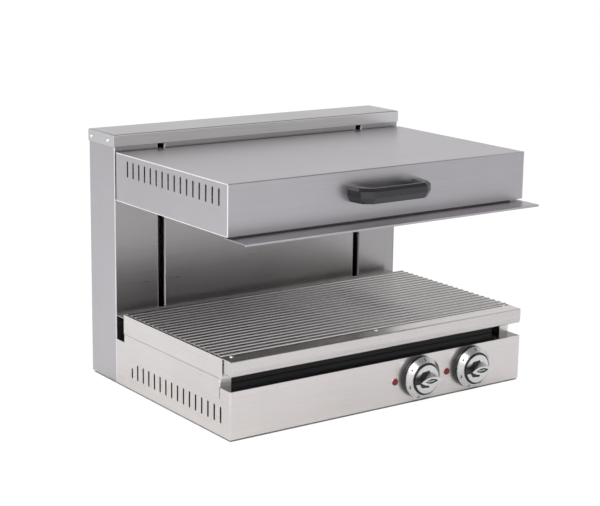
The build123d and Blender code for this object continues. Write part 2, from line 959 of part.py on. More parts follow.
for name, side in sides.items():
    route = [(side * element_pass_x[0], tail_end_y)]
    for index, pass_x in enumerate(element_pass_x):
        ends = [element_back_y, element_front_y]
        if index % 2:
            ends.reverse()
        if index > 0:
            route.append((side * pass_x, ends[0]))
        if index < element_passes - 1:
            route.append((side * pass_x, ends[1]))
    route.append((side * element_pass_x[-1], tail_end_y))
    with BuildPart() as element:
        with BuildLine(Plane.XY.offset(element_z)) as path:
            FilletPolyline(*route, radius=(element_pitch - element_run_gap) / 2)
        with BuildSketch(Plane(origin=path.line @ 0, z_dir=path.line % 0)):
            Circle(element_radius)
        sweep(path=path.line)
    save(element.part, f"element_{name}")

hanger_half_width = element_pass_x[-1] + element_pitch / 2
hanger_top = reflector_top - sheet
hanger_ys = [reflector_front_y + hanger_inset, reflector_rear_y - hanger_inset]

with BuildPart() as element_hangers:
    for hanger_y in hanger_ys:
        slab(
            (-hanger_half_width, hanger_half_width),
            (hanger_y, hanger_y + hanger_sheet),
            (hanger_top - hanger_drop, hanger_top),
        )
        for pass_x in all_pass_x:
            plane = facing_back(pass_x, hanger_y, element_z)
            disc(plane, element_radius + running_gap, 0, hanger_sheet, Mode.SUBTRACT)
save(element_hangers.part, "element_hangers")

with BuildPart() as element_terminals:
    for plane in tail_planes:
        ring(plane, terminal_radius, element_radius, 0, terminal_length)
save(element_terminals.part, "element_terminals")

# ---- hood handle ----------------------------------------------------------------------

outer = handle_width / 2
front_half = handle_front_width / 2
shoulder = handle_reach - handle_shoulder / 2

with BuildPart() as hood_handle:
    with BuildSketch(Plane.XY.offset(handle_z - handle_height / 2)):
        with Locations((0, hood_front_y)):
            Polygon(
                (-outer, 0),
                (-outer + handle_chamfer, -shoulder),
                (-front_half, -handle_reach),
                (front_half, -handle_reach),
                (outer - handle_chamfer, -shoulder),
                (outer, 0),
                (outer - handle_leg, 0),
                (outer - handle_leg - handle_chamfer, handle_grip - handle_reach),
                (handle_leg + handle_chamfer - outer, handle_grip - handle_reach),
                (handle_leg - outer, 0),
                align=None,
            )
    extrude(amount=handle_height)
    for end, slope in ((0, handle_slope), (-1, handle_chamfer)):
        face = hood_handle.faces().sort_by(Axis.Z)[end]
        rims = [edge for edge in face.edges() if edge.center().Y < hood_front_y - bend]
        chamfer(rims, handle_chamfer, slope, reference=face)
    for plane in handle_screw_planes:
        disc(plane, screw_radius, sheet, screw_length, Mode.SUBTRACT)
save(hood_handle.part, "hood_handle")

with BuildPart() as handle_screws:
    for plane in handle_screw_planes:
        disc(plane, screw_head_radius, -screw_head_height, 0)
        disc(plane, screw_radius, 0, screw_length)
save(handle_screws.part, "handle_screws")

# ---- fascia fittings ------------------------------------------------------------------

dial_front = dial_depth + dial_ring

with BuildPart() as dial_skirts:
    for plane in dial_planes:
        ring(plane, dial_radius, dial_radius - dial_wall, 0, dial_depth - dial_slope)
save(dial_skirts.part, "dial_skirts")

ring_section = [
    (dial_radius, dial_slope - dial_depth),
    (dial_radius, dial_slope - dial_front),
    (dial_inner_radius + dial_bead, -dial_front),
    (dial_inner_radius + dial_bead, -dial_front - dial_bead),
    (dial_inner_radius, -dial_front - dial_bead),
    (dial_inner_radius, -dial_depth),
    (dial_radius - dial_wall, dial_slope - dial_depth),
]

with BuildPart() as dial_rings:
    for plane in dial_planes:
        with BuildSketch(Plane(origin=plane.origin, x_dir=(1, 0, 0), z_dir=(0, 0, 1))):
            Polygon(*ring_section, align=None)
        revolve(axis=Axis(plane.origin, (0, 1, 0)))
    fillet(dial_rings.edges().group_by(Axis.Y)[0], dial_bead_round)
save(dial_rings.part, "dial_rings")

fan_edge = [
    (-fan_tail, fan_tail_half),
    (-fan_step, fan_tail_half),
    (-fan_shoulder, fan_shoulder_half),
    (fan_corner, fan_half),
    (fan_point, fan_tail_half),
]
fan_points = fan_edge + [(x, -y) for x, y in reversed(fan_edge)]


def almond(length, width, shift=0):
    """A pointed outline of two arcs, for a knob's grip and its inlay."""
    radius = (length**2 + width**2) / (4 * width)
    centre = radius - width / 2
    with BuildSketch(mode=Mode.PRIVATE) as outline:
        with Locations((shift, -centre)):
            Circle(radius)
        with Locations((shift, centre)):
            Circle(radius, mode=Mode.INTERSECT)
    add(outline.sketch)


for name, plane in zip(sides, dial_planes):
    with BuildPart() as knob:
        disc(plane, knob_radius, knob_back_gap, knob_top - face_height)
        with BuildSketch(plane.offset(knob_top - face_height)):
            Polygon(*fan_points, align=None)
            offset(amount=-running_gap)
        extrude(amount=face_height - face_hollow)
        with BuildSketch(plane.offset(grip_front - inlay_depth)):
            almond(inlay_length - 2 * running_gap, inlay_width - 2 * running_gap)
        extrude(amount=inlay_depth - inlay_recess)
        disc(plane, spindle_radius, 0, dial_depth, Mode.SUBTRACT)
    save(knob.part, f"knob_{name}")

    with BuildPart() as knob_face:
        disc(plane, face_radius, knob_top - face_height, knob_top)
        with BuildSketch(plane.offset(knob_top - face_height)):
            Polygon(*fan_points, align=None)
        extrude(amount=face_height, mode=Mode.SUBTRACT)
        with BuildSketch(plane.offset(knob_top - face_hollow)):
            almond(grip_base_length, grip_base_width, grip_base_shift)
        with BuildSketch(plane.offset(grip_front)):
            almond(grip_length, grip_width)
        loft()
        with BuildSketch(plane.offset(grip_front)):
            almond(inlay_length, inlay_width)
        extrude(amount=-inlay_depth, mode=Mode.SUBTRACT)
    save(knob_face.part, f"knob_face_{name}")

    with BuildPart() as spindle:
        disc(plane, spindle_radius, -sheet - spindle_depth, dial_depth)
    save(spindle.part, f"spindle_{name}")

with BuildPart() as energy_regulators:
    for plane in dial_planes:
        with BuildSketch(plane.offset(-2 * sheet)):
            Rectangle(regulator_width, regulator_height)
        extrude(amount=-regulator_depth)
        disc(plane, bush_radius, -2 * sheet, bush_nut_height)
        disc(plane, bush_nut_radius, 0, bush_nut_height)
        disc(plane, spindle_radius + running_gap, -sheet - spindle_depth, bush_nut_height, Mode.SUBTRACT)
save(energy_regulators.part, "energy_regulators")

with BuildPart() as lamp_holders:
    for plane in lamp_planes:
        disc(plane, lamp_body_radius, -sheet - lamp_body_length, 0)
        disc(plane, lamp_nut_radius, -sheet - bush_nut_height, -sheet)
save(lamp_holders.part, "lamp_holders")

with BuildPart() as lamp_lenses:
    for plane in lamp_planes:
        disc(plane, lamp_radius, 0, lamp_dome)
    fillet(lamp_lenses.edges().group_by(Axis.Y)[0], lamp_round)
save(lamp_lenses.part, "lamp_lenses")

# ---- mains inlet and wiring -----------------------------------------------------------

with BuildPart() as mains_gland:
    disc(gland_plane, gland_radius, 0, gland_proud)
    disc(gland_plane, gland_thread_radius, -sheet - gland_inside, 0)
    with BuildSketch(gland_plane.offset(-sheet)):
        RegularPolygon(gland_radius, 6)
    extrude(amount=-gland_inside / 2)
    disc(gland_plane, gland_bore_radius, -sheet - gland_inside, gland_proud, Mode.SUBTRACT)
    chamfer(mains_gland.edges().group_by(Axis.Y)[-1], sheet)
save(mains_gland.part, "mains_gland")

block_y = column_y + sheet + slot_return
block_half = terminal_block_width / 2

with BuildPart() as terminal_block:
    slab(
        (gland_x - block_half, gland_x + block_half),
        (block_y, block_y + terminal_block_depth),
        (pan_top, pan_top + terminal_block_height),
    )
    with Locations(Plane.XY.offset(pan_top + terminal_block_height)):
        with Locations((gland_x, block_y + terminal_block_depth / 2)):
            with GridLocations(terminal_pitch, 1, 3, 1):
                Hole(loom_radius, depth=terminal_block_height / 2)
save(terminal_block.part, "terminal_block")

regulator_rear_y = front_y + 2 * sheet + regulator_depth

with BuildPart() as wiring_loom:
    for index, dial_x in enumerate(dial_xs):
        lane = (index - 0.5) * loom_lane
        wire_z = gland_height
        turn_y = regulator_rear_y + loom_run - lane
        end_y = block_y + terminal_block_depth / 2
        end_x = gland_x + lane
        with BuildLine() as path:
            FilletPolyline(
                (dial_x, regulator_rear_y, wire_z),
                (dial_x, turn_y, wire_z),
                (end_x, turn_y, wire_z),
                (end_x, end_y, wire_z),
                (end_x, end_y, pan_top + terminal_block_height),
                radius=loom_bend,
            )
        with BuildSketch(Plane(origin=path.line @ 0, z_dir=path.line % 0)):
            Circle(loom_radius)
        sweep(path=path.line)
save(wiring_loom.part, "wiring_loom")
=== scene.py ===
"""The looks of the cheese melter: finishes, cables, blanket, dial marks, floor, light and camera."""

import math

import bmesh
import bpy
from mathutils import Matrix, Vector, noise


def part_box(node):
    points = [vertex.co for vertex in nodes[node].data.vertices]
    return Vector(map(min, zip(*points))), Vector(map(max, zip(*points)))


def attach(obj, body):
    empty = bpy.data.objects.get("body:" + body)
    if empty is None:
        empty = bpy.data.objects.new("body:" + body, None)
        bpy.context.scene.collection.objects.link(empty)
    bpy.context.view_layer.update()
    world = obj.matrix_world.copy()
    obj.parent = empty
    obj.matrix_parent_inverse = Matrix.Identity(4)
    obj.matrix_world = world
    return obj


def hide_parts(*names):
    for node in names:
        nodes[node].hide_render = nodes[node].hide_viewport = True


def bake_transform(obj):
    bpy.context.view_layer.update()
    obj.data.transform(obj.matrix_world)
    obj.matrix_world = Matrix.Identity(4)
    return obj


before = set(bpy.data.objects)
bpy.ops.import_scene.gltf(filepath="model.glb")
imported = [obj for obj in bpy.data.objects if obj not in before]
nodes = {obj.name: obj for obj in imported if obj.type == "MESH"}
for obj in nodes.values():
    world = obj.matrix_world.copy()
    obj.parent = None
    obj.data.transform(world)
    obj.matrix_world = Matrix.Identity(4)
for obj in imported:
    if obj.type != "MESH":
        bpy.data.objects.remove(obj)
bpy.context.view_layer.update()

# ---- where the camera stood, and the room --------------------------------------------------

CAMERA_AZIMUTH = math.radians(-35.6)
CAMERA_ELEVATION = math.radians(12.9)
CAMERA_ROLL = math.radians(0.86)
CAMERA_DISTANCE = 2.722
CAMERA_TARGET = Vector((-0.0213, 0, 0.224))
CAMERA_LENS = 95.5  # mm
SENSOR_WIDTH = 36  # mm
CLIP_END = 50

ROOM_COLOUR = (0.95, 0.96, 1.0)
ROOM_STRENGTH = 0.8
CEILING_START = 0.35  # height, on a unit sphere, at which the room starts to darken
CEILING_END = 0.75
CEILING_STRENGTH = 0.3

FLOOR_REACH = 12
FLOOR_TONE = 0.93
FLOOR_ROUGHNESS = 0.9
FLOOR_GLOW = 1.04
FLOOR_GLOW_SHARE = 0.9  # of what the camera sees of the floor
FOOTPRINT = (-0.299, -0.211, 0.299, 0.229)  # left, front, right and back of the patch of painted shadow
PATCH_LIFT = 0.0002
# the patch is darker than the floor and doesn't glow: painted shadow
PAINTED_SHADOW_TONE = 0.5

# place, point that it shines at, width and height, and power of each soft box
LIGHTS = {
    "key": ((-1.6, -2.6, 2.4), (0, 0, 0.2), (1.8, 1.8), 60),
    "side": ((-3.0, 0.2, 1.4), (0, 0, 0.2), (1.6, 1.6), 25),
    "top": ((0.6, 1.2, 3.0), (0, 0, 0.3), (2.4, 2.4), 8),
}

# ---- colours, as they render under plain light --------------------------------------------

BASE_STEEL = (0.66, 0.625, 0.605)
HOOD_STEEL = (0.43, 0.41, 0.43)
SIDE_STEEL = (0.47, 0.455, 0.465)
# the column's steel is a darker copy, standing for the hood's shade over it: painted shade
SHADED_COLUMN_STEEL = (0.37, 0.355, 0.355)
CAP_STEEL = (0.60, 0.585, 0.59)
LIP_STEEL = (0.60, 0.57, 0.555)
ROD_STEEL = (0.60, 0.58, 0.575)
MIRROR_STEEL = (0.62, 0.61, 0.60)
ZINC = (0.52, 0.54, 0.56)
BRIGHT = (0.86, 0.85, 0.84)
BLACK = (0.012, 0.012, 0.013)
# near black: the deck and crumb tray show as a dark gap under the grate
DECK_BLACK = (0.010, 0.009, 0.011)
RED = (0.16, 0.004, 0.008)
# pale tone of the bars that paint highlights along sheet edges
EDGE_HIGHLIGHT_TONE = (0.80, 0.79, 0.785)
CHROME = (0.64, 0.635, 0.63)
DIAL_METAL = (0.60, 0.595, 0.585)
ALUMINIUM = (0.70, 0.71, 0.72)
ROPE = (0.40, 0.40, 0.41)
BRASS = (0.66, 0.46, 0.17)
IRON = (0.085, 0.085, 0.09)
NYLON = (0.72, 0.70, 0.64)
RUBBER = (0.022, 0.022, 0.022)
CREAM = (0.70, 0.67, 0.58)
INK = (0.02, 0.02, 0.02)
PALE = (0.30, 0.32, 0.31)
WOOL = ((0.42, 0.36, 0.22), (0.74, 0.68, 0.50))  # darkest and lightest
SHEATH = ((0.030, 0.026, 0.024), (0.115, 0.100, 0.092))
SLEEVE = ((0.20, 0.035, 0.025), (0.46, 0.10, 0.07))

# ---- sizes of the pieces made here, in metres ---------------------------------------------

FASCIA_Y = -0.212
DIAL_XS = {"left": 0.074, "right": 0.185}
DIAL_Z = 0.0437
RING_INNER = 0.0283
RING_OUTER = 0.036
RING_FRONT = 0.018
RING_SLOPE = 0.007
NUMERAL_SIZE = 0.0074
NUMERAL_WEIGHT = 0.0003
NUMERAL_RELIEF = 0.00008
NUMERALS = {"5": 90, "4": 147, "3": 201, "2": 249, "1": 295, "0": 0}  # degrees from the right
CORE_FRONT = 0.033
POINTER_SPAN = (-0.0085, 0.0065)
POINTER_HALF = 0.0011
POINTER_DEPTH = 0.0004
POINTER_ROUND = 0.0003
LAMP_OFFSET = 0.051
LAMP_Z = 0.042
BEZEL_RADIUS = 0.0062
BEZEL_WIRE = 0.0006

PULLEY_X = 0.162
PULLEY_Z = 0.4002
CABLE_Y = 0.193
CABLE_BEND = 0.0188
HOOD_ROPE = {"x": PULLEY_X + CABLE_BEND, "low": 0.3591}
WEIGHT_ROPE = {"x": PULLEY_X - CABLE_BEND, "low": 0.1492}
FERRULE_RADIUS = 0.003
FERRULE_LENGTH = 0.008
FERRULE_ROUND = 0.0006
STRANDS = 6
STRAND_RADIUS = 0.0005
STRAND_SIDES = 6
ROPE_LAY = 0.011
ROPE_STEP = 0.001

BLANKET_CUTS = 60
BLANKET_RIM = 0.05  # width of the rounded edge, as a share of the blanket's half width
BLANKET_WAVES = (9, 5)
# shares of the blanket's height: its edge, what it swells inside the edge, and its ripples
BLANKET_EDGE, BLANKET_SWELL, BLANKET_RIPPLE = 0.35, 0.45, 0.2

EDGE_SEGMENTS = 2
EDGE_ANGLE = math.radians(30)  # sharper edges than this are rounded
WELD_REACH = 0.00001

# corners of the boxes of painted highlight along the sheets' edges on the right; the left has the same
HOOD_HIGHLIGHT_BOXES = [
    ((0.2990, -0.2015, 0.4005), (0.3001, 0.1375, 0.4015)),
    ((0.2990, -0.2022, 0.3210), (0.3001, -0.2012, 0.4005)),
    ((0.2990, -0.2015, 0.3203), (0.3002, 0.1375, 0.3213)),
]
COLUMN_HIGHLIGHT_BOXES = [
    ((0.2990, 0.1438, 0.0035), (0.3002, 0.1448, 0.4095)),
    ((0.2024, 0.1440, 0.1240), (0.2027, 0.1485, 0.4090)),
    ((0.2173, 0.1440, 0.1240), (0.2176, 0.1485, 0.4090)),
]


# ---- materials ----------------------------------------------------------------------------


class Graph:
    """A material's node tree, with short ways to add a node and to link it."""

    def __init__(self, name):
        self.material = bpy.data.materials.new(name)
        self.material.use_nodes = True
        self.tree = self.material.node_tree
        self.shader = self.tree.nodes["Principled BSDF"]
        self.where = self.add("ShaderNodeTexCoord").outputs["Object"]

    def add(self, kind, **values):
        node = self.tree.nodes.new(kind)
        for key, value in values.items():
            setattr(node, key, value)
        return node

    def link(self, start, end):
        self.tree.links.new(start, end)

    def noise(self, scale, stretch=(1, 1, 1), detail=3, roughness=0.55):
        """A noise of that many waves to the metre, drawn out along the axes with a small stretch."""
        mapping = self.add("ShaderNodeMapping")
        mapping.inputs["Scale"].default_value = stretch
        self.link(self.where, mapping.inputs["Vector"])
        noise = self.add("ShaderNodeTexNoise")
        noise.inputs["Scale"].default_value = scale
        noise.inputs["Detail"].default_value = detail
        noise.inputs["Roughness"].default_value = roughness
        self.link(mapping.outputs["Vector"], noise.inputs["Vector"])
        return noise.outputs["Fac"]

    def between(self, factor, low, high, span=(0.3, 0.7)):
        """A number that goes from low to high as the factor crosses the span."""
        spread = self.add("ShaderNodeMapRange")
        spread.inputs["From Min"].default_value = span[0]
        spread.inputs["From Max"].default_value = span[1]
        spread.inputs["To Min"].default_value = low
        spread.inputs["To Max"].default_value = high
        self.link(factor, spread.inputs["Value"])
        return spread.outputs["Result"]

    def colours(self, factor, low, high, span=(0.3, 0.7)):
        """A colour that goes from low to high as the factor crosses the span."""
        ramp = self.add("ShaderNodeValToRGB")
        ramp.color_ramp.elements[0].position = span[0]
        ramp.color_ramp.elements[1].position = span[1]
        ramp.color_ramp.elements[0].color = (*low, 1)
        ramp.color_ramp.elements[1].color = (*high, 1)
        self.link(factor, ramp.inputs["Fac"])
        return ramp.outputs["Color"]

    def sum(self, first, second, share=0.5):
        """The second factor weighed against the first."""
        mix = self.add("ShaderNodeMix", data_type="FLOAT")
        mix.inputs["Factor"].default_value = share
        self.link(first, mix.inputs["A"])
        self.link(second, mix.inputs["B"])
        return mix.outputs["Result"]

    def paint_shade_on_level_faces(self, colour, share):
        """Painted shade: the colour, scaled by a share on the faces that look up, so they look less lit.
        """
        if share == 1:
            return colour
        apart = self.add("ShaderNodeSeparateXYZ")
        self.link(self.add("ShaderNodeNewGeometry").outputs["Normal"], apart.inputs[0])
        scaled = self.add("ShaderNodeVectorMath", operation="SCALE")
        self.link(colour, scaled.inputs[0])
        self.link(self.between(apart.outputs["Z"], 1, share, (0.4, 0.8)), scaled.inputs["Scale"])
        return scaled.outputs["Vector"]

    def bump(self, height, strength, depth):
        """Relief of that depth in metres."""
        bump = self.add("ShaderNodeBump")
        bump.inputs["Strength"].default_value = strength
        bump.inputs["Distance"].default_value = depth
        self.link(height, bump.inputs["Height"])
        self.link(bump.outputs["Normal"], self.shader.inputs["Normal"])

    def set(self, **values):
        for key, value in values.items():
            self.shader.inputs[key.replace("_", " ")].default_value = value


def shade(colour, share):
    return tuple(min(1, part * share) for part in colour)


def brushed_steel(name, colour, grain="x", roughness=0.30, relief=0.25, painted_top_shade=1.0):
    """Sheet or bar ground along one axis; faces that look up take a share of the colour as painted shade.
    """
    contrast = 0.07
    cloud = 0.05
    along, across = 0.02, 1.0
    graph = Graph(name)
    stretch = {
        "x": (along, across, across),
        "y": (across, along, across),
        "z": (across, across, along),
        "level": (along, along, across),
    }[grain]
    fine = graph.noise(1500, stretch, detail=4, roughness=0.7)
    broad = graph.noise(260, stretch, detail=3)
    streaks = graph.sum(fine, broad, 0.45)
    smudges = graph.noise(9, detail=4, roughness=0.6)
    both = graph.sum(streaks, smudges, 0.35)
    ground = graph.colours(both, shade(colour, 1 - contrast), shade(colour, 1 + contrast))
    graph.link(graph.paint_shade_on_level_faces(ground, painted_top_shade), graph.shader.inputs["Base Color"])
    rough = graph.between(both, roughness - cloud, roughness + cloud)
    graph.link(rough, graph.shader.inputs["Roughness"])
    graph.bump(streaks, relief, 0.00006)
    graph.set(Metallic=1.0)
    return graph.material


def plain_metal(name, colour, roughness=0.35, mottle=0.10, scale=120, relief=0.15):
    """Cast, plated or turned metal with a fine mottled surface."""
    graph = Graph(name)
    mottled = graph.sum(graph.noise(scale, detail=5, roughness=0.65), graph.noise(14, detail=3), 0.3)
    graph.link(
        graph.colours(mottled, shade(colour, 1 - mottle), shade(colour, 1 + mottle)),
        graph.shader.inputs["Base Color"],
    )
    rough = graph.between(mottled, roughness - 0.06, roughness + 0.08)
    graph.link(rough, graph.shader.inputs["Roughness"])
    graph.bump(mottled, relief, 0.0001)
    graph.set(Metallic=1.0)
    return graph.material


def moulded(name, colour, roughness=0.35, grain=600, relief=0.12, variation=0.12, coat=0.0):
    """Moulded plastic or rubber: a fine texture with faint cloudiness and handling marks."""
    graph = Graph(name)
    fine = graph.noise(grain, detail=3)
    cloud = graph.noise(18, detail=4, roughness=0.6)
    mixed = graph.sum(fine, cloud, 0.5)
    graph.link(
        graph.colours(mixed, shade(colour, 1 - variation), shade(colour, 1 + variation)),
        graph.shader.inputs["Base Color"],
    )
    rough = graph.between(cloud, max(0.02, roughness - 0.06), roughness + 0.08)
    graph.link(rough, graph.shader.inputs["Roughness"])
    graph.bump(fine, relief, 0.00008)
    graph.set(**{"Coat Weight": coat, "Coat Roughness": 0.06})
    return graph.material


def lens_red(name):
    """A red moulded lens with a faint moulded ripple."""
    graph = Graph(name)
    ripple = graph.noise(900, detail=2)
    colour = graph.colours(ripple, shade(RED, 0.75), shade(RED, 1.35))
    graph.link(colour, graph.shader.inputs["Base Color"])
    rough = graph.between(ripple, 0.12, 0.26)
    graph.link(rough, graph.shader.inputs["Roughness"])
    graph.bump(ripple, 0.2, 0.0001)
    graph.set(**{"Coat Weight": 0.15, "Specular IOR Level": 0.3})
    return graph.material


def wool(name):
    """Pressed mineral wool: matted fibres, yellowish, darker in the hollows."""
    graph = Graph(name)
    fibres = graph.noise(1400, (1, 0.25, 1), detail=6, roughness=0.75)
    clumps = graph.noise(70, detail=4)
    mixed = graph.sum(fibres, clumps, 0.5)
    colour = graph.colours(mixed, *WOOL)
    graph.link(colour, graph.shader.inputs["Base Color"])
    graph.bump(mixed, 0.7, 0.0009)
    graph.set(**{"Roughness": 0.95, "Sheen Weight": 0.25, "Sheen Roughness": 0.6})
    return graph.material


def sheath(name):
    """The dark oxidised sheath of a heating element, with grey and brown heat stains."""
    graph = Graph(name)
    stains = graph.sum(graph.noise(26, detail=4), graph.noise(420, detail=5, roughness=0.7), 0.45)
    colour = graph.colours(stains, *SHEATH)
    graph.link(colour, graph.shader.inputs["Base Color"])
    rough = graph.between(stains, 0.42, 0.68)
    graph.link(rough, graph.shader.inputs["Roughness"])
    graph.bump(stains, 0.3, 0.0001)
    graph.set(Metallic=0.6)
    return graph.material


def fleece_sleeve(name):
    """The braided heat-proof sleeve of a wire."""
    graph = Graph(name)
    braid = graph.add("ShaderNodeTexWave", wave_type="BANDS", bands_direction="DIAGONAL")
    braid.inputs["Scale"].default_value = 420
    braid.inputs["Distortion"].default_value = 1.5
    graph.link(graph.where, braid.inputs["Vector"])
    colour = graph.colours(braid.outputs["Fac"], *SLEEVE, span=(0.2, 0.8))
    graph.link(colour, graph.shader.inputs["Base Color"])
    graph.bump(braid.outputs["Fac"], 0.5, 0.0003)
    graph.set(Roughness=0.8)
    return graph.material


MATERIALS = {
    "base_steel": brushed_steel("base_steel", BASE_STEEL, "level", 0.30),
    "rim_steel": brushed_steel("rim_steel", LIP_STEEL, "x", 0.28),
    "rim_side_steel": brushed_steel("rim_side_steel", BASE_STEEL, "y", 0.30),
    # the hood's and the cap's level tops are darkened by a share of their colour: painted shade
    "hood_steel": brushed_steel("hood_steel", HOOD_STEEL, "x", 0.33, painted_top_shade=0.94),
    "hood_side_steel": brushed_steel("hood_side_steel", SIDE_STEEL, "y", 0.36),
    "shaded_column_steel": brushed_steel("shaded_column_steel", SHADED_COLUMN_STEEL, "x", 0.30),
    "column_side_steel": brushed_steel("column_side_steel", SIDE_STEEL, "z", 0.34),
    # the cap's top is darkened most: painted shade
    "cap_steel": brushed_steel("cap_steel", CAP_STEEL, "x", 0.30, painted_top_shade=0.64),
    "deck_black": moulded("deck_black", DECK_BLACK, 0.12, grain=240, relief=0.05, variation=0.2, coat=0.3),
    "reflector_steel": brushed_steel("reflector_steel", MIRROR_STEEL, "x", 0.14, relief=0.1),
    "rod_steel": brushed_steel("rod_steel", ROD_STEEL, "x", 0.24),
    "zinc": plain_metal("zinc", ZINC, 0.42, mottle=0.14, scale=70),
    "bright_steel": plain_metal("bright_steel", BRIGHT, 0.16, mottle=0.05, scale=260, relief=0.05),
    "chrome": plain_metal("chrome", CHROME, 0.16, mottle=0.04, scale=200, relief=0.03),
    "rope": plain_metal("rope", ROPE, 0.38, scale=900),
    "sheath": sheath("sheath"),
    "brass": plain_metal("brass", BRASS, 0.28),
    "cast_iron": plain_metal("cast_iron", IRON, 0.62, mottle=0.25, scale=420, relief=0.5),
    "aluminium": plain_metal("aluminium", ALUMINIUM, 0.30, scale=300),
    "dial_aluminium": plain_metal("dial_aluminium", DIAL_METAL, 0.27, mottle=0.04, scale=500),
    "nylon": moulded("nylon", NYLON, 0.42),
    "gloss_black": moulded("gloss_black", BLACK, 0.09, relief=0.03),
    "satin_black": moulded("satin_black", BLACK, 0.30),
    "rubber": moulded("rubber", RUBBER, 0.72, grain=900, relief=0.35),
    "cream_plastic": moulded("cream_plastic", CREAM, 0.30),
    "red_lens": lens_red("red_lens"),
    "sleeve": fleece_sleeve("sleeve"),
    "wool": wool("wool"),
    # a pale matt finish that paints highlights along edges
    "painted_edge_highlight": moulded("painted_edge_highlight", EDGE_HIGHLIGHT_TONE, 0.35, grain=1500, variation=0.05),
    "ink": moulded("ink", INK, 0.5, grain=1500),
    "pale_mark": moulded("pale_mark", PALE, 0.4, grain=1500),
}

FINISHES = {
    "base_steel": ["base_wrap"],
    "rim_steel": ["rim_front", "rim_rear"],
    "rim_side_steel": ["rim_left", "rim_right"],
    "hood_steel": ["hood_wrap", "deflector"],
    "hood_side_steel": ["hood_left", "hood_right"],
    "shaded_column_steel": ["column_front", "column_back"],
    "column_side_steel": ["column_left", "column_right"],
    "cap_steel": ["top_cap"],
    "deck_black": ["control_deck", "crumb_tray"],
    "reflector_steel": ["reflector"],
    "rod_steel": ["grate"],
    "zinc": [
        "floor_pan", "pulley_beam", "guide_brackets", "carriage_beam", "hood_arms",
        "element_hangers", "weight_guides", "lamp_holders",
    ],
    "bright_steel": [
        "guide_rods", "pulley_axles", "lip_screws", "cap_rivets", "back_screws",
        "handle_screws", "spindle_left", "spindle_right",
    ],
    "sheath": ["element_left", "element_right"],
    "brass": ["element_terminals"],
    "cast_iron": ["counterweight"],
    "aluminium": ["bush_blocks"],
    "dial_aluminium": ["dial_rings"],
    "chrome": ["knob_face_left", "knob_face_right"],
    "nylon": ["pulley_left", "pulley_right"],
    "gloss_black": ["hood_handle"],
    "satin_black": ["dial_skirts", "knob_left", "knob_right", "energy_regulators", "mains_gland"],
    "rubber": ["rubber_feet", "down_stops"],
    "cream_plastic": ["terminal_block"],
    "red_lens": ["lamp_lenses"],
    "sleeve": ["wiring_loom"],
    "rope": ["cable_wraps", "weight_cables", "hood_cables"],
    "wool": ["insulation"],
}

# width in metres of the rounding along each node's sharp edges
EDGES = {
    0.0004: [
        "base_wrap", "rim_left", "rim_right", "rim_front", "rim_rear", "column_left", "column_right",
        "column_front", "column_back", "top_cap", "hood_wrap", "hood_left", "hood_right", "deflector",
        "control_deck", "crumb_tray", "reflector", "knob_face_left", "knob_face_right",
    ],
    0.0006: ["dial_skirts", "knob_left", "knob_right", "counterweight", "bush_blocks", "guide_brackets"],
    0.0014: ["hood_handle"],
}


def dress(thing, material):
    """Gives an object one material."""
    thing.data.materials.clear()
    thing.data.materials.append(MATERIALS[material])


def soften(thing, width):
    """Rounds an object's sharp edges."""
    weld = thing.modifiers.new("weld", "WELD")
    weld.merge_threshold = WELD_REACH
    bevel = thing.modifiers.new("bevel", "BEVEL")
    bevel.width = width
    bevel.segments = EDGE_SEGMENTS
    bevel.limit_method = "ANGLE"
    bevel.angle_limit = EDGE_ANGLE
    bevel.use_clamp_overlap = True
    bevel.harden_normals = False


for finish, members in FINISHES.items():
    for member in members:
        dress(nodes[member], finish)
for edge_width, members in EDGES.items():
    for member in members:
        soften(nodes[member], edge_width)


# ---- pieces made here ---------------------------------------------------------------------


def place_piece(name, mesh, material):
    """Puts a new mesh into the scene in one material."""
    piece = bpy.data.objects.new(name, mesh)
    bpy.context.scene.collection.objects.link(piece)
    dress(piece, material)
    return piece


def finish_mesh(name, shape, smooth=True):
    """Turns a shape into a mesh, with its faces shaded smooth or flat."""
    mesh = bpy.data.meshes.new(name)
    shape.to_mesh(mesh)
    shape.free()
    for face in mesh.polygons:
        face.use_smooth = smooth
    return mesh


def line(start, end):
    """Points along a straight rope, one step apart."""
    count = round((end - start).length / ROPE_STEP)
    return [start.lerp(end, index / count) for index in range(count + 1)]


def half_turn(centre, radius):
    """Points along a rope that passes over a pulley."""
    count = round(math.pi * radius / ROPE_STEP)
    angles = [math.pi * index / count for index in range(count + 1)]
    return [centre + radius * Vector((math.cos(angle), 0, math.sin(angle))) for angle in angles]


def twist(shape, path):
    """Adds strands twisted round a core along a path that lies in an upright plane facing front."""
    level = Vector((0, 1, 0))
    turns = [math.tau * strand / STRANDS for strand in range(STRANDS)]
    lanes = [(0, 0)] + [(2 * STRAND_RADIUS, turn) for turn in turns]
    for offset, phase in lanes:
        rings = []
        for index, point in enumerate(path):
            ahead = path[min(index + 1, len(path) - 1)] - path[max(index - 1, 0)]
            upright = ahead.normalized().cross(level)
            spin = phase + math.tau * index * ROPE_STEP / ROPE_LAY
            middle = point + offset * (math.cos(spin) * level + math.sin(spin) * upright)
            ring = []
            for side in range(STRAND_SIDES):
                angle = math.tau * side / STRAND_SIDES
                edge = STRAND_RADIUS * (math.cos(angle) * level + math.sin(angle) * upright)
                ring.append(shape.verts.new(middle + edge))
            rings.append(ring)
        for low, high in zip(rings, rings[1:]):
            for side in range(STRAND_SIDES):
                following = (side + 1) % STRAND_SIDES
                shape.faces.new((low[side], low[following], high[following], high[side]))
        shape.faces.new(rings[0][::-1])
        shape.faces.new(rings[-1])
    bmesh.ops.recalc_face_normals(shape, faces=shape.faces)


